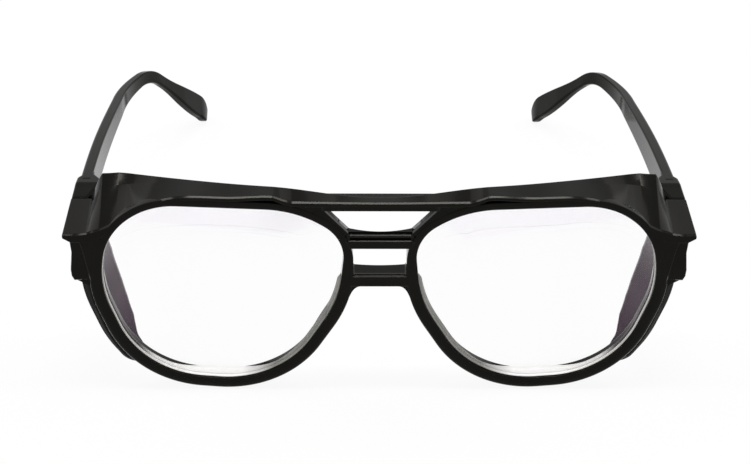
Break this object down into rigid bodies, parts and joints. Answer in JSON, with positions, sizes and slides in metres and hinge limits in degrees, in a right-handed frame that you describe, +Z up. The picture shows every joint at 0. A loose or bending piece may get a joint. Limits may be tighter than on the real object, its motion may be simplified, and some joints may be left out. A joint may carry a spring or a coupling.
{
  "type": "laser safety spectacles",
  "caption": "Black spectacle-style laser safety eyewear with a brow guard, open bridge bars, clear filter lenses, side shields and folding arms with bent ear ends",
  "frame": {"origin": "Middle of the whole outline in plan, on the table that the rims and the ear tips stand on", "axes": "+X towards the wearer's left, the front faces -Y and the arms reach back along +Y, +Z up"},
  "size_m": [0.1498, 0.1424, 0.0561],
  "materials": {
    "frame": "polished black moulded plastic",
    "arm": "polished black moulded plastic",
    "shield": "glossy black sheet plastic",
    "lens": "clear coated filter lens",
    "metal": "plain nickel silver"
  },
  "bodies": {
    "frame": {"frame_front": "frame", "lens_left": "lens", "lens_right": "lens", "side_shield_left": "shield", "side_shield_right": "shield", "side_shield_screw_left": "metal", "side_shield_screw_right": "metal", "front_hinge_left": "metal", "front_hinge_right": "metal", "front_hinge_rivets_left": "metal", "front_hinge_rivets_right": "metal", "hinge_screw_left": "metal", "hinge_screw_right": "metal"},
    "left_arm": {"temple_left": "arm", "temple_hinge_left": "metal", "temple_hinge_rivets_left": "metal", "temple_core_left": "metal"},
    "right_arm": {"temple_right": "arm", "temple_hinge_right": "metal", "temple_hinge_rivets_right": "metal", "temple_core_right": "metal"}
  },
  "joints": [
    {"name": "left_arm_fold", "type": "hinge", "parent": "frame", "child": "left_arm", "pos_m": [0.0676, -0.05667, 0.0441], "axis": [0, 0, 1], "range_deg": [0, 84]},
    {"name": "right_arm_fold", "type": "hinge", "parent": "frame", "child": "right_arm", "pos_m": [-0.0676, -0.05667, 0.0441], "axis": [0, 0, -1], "range_deg": [0, 74]}
  ]
}
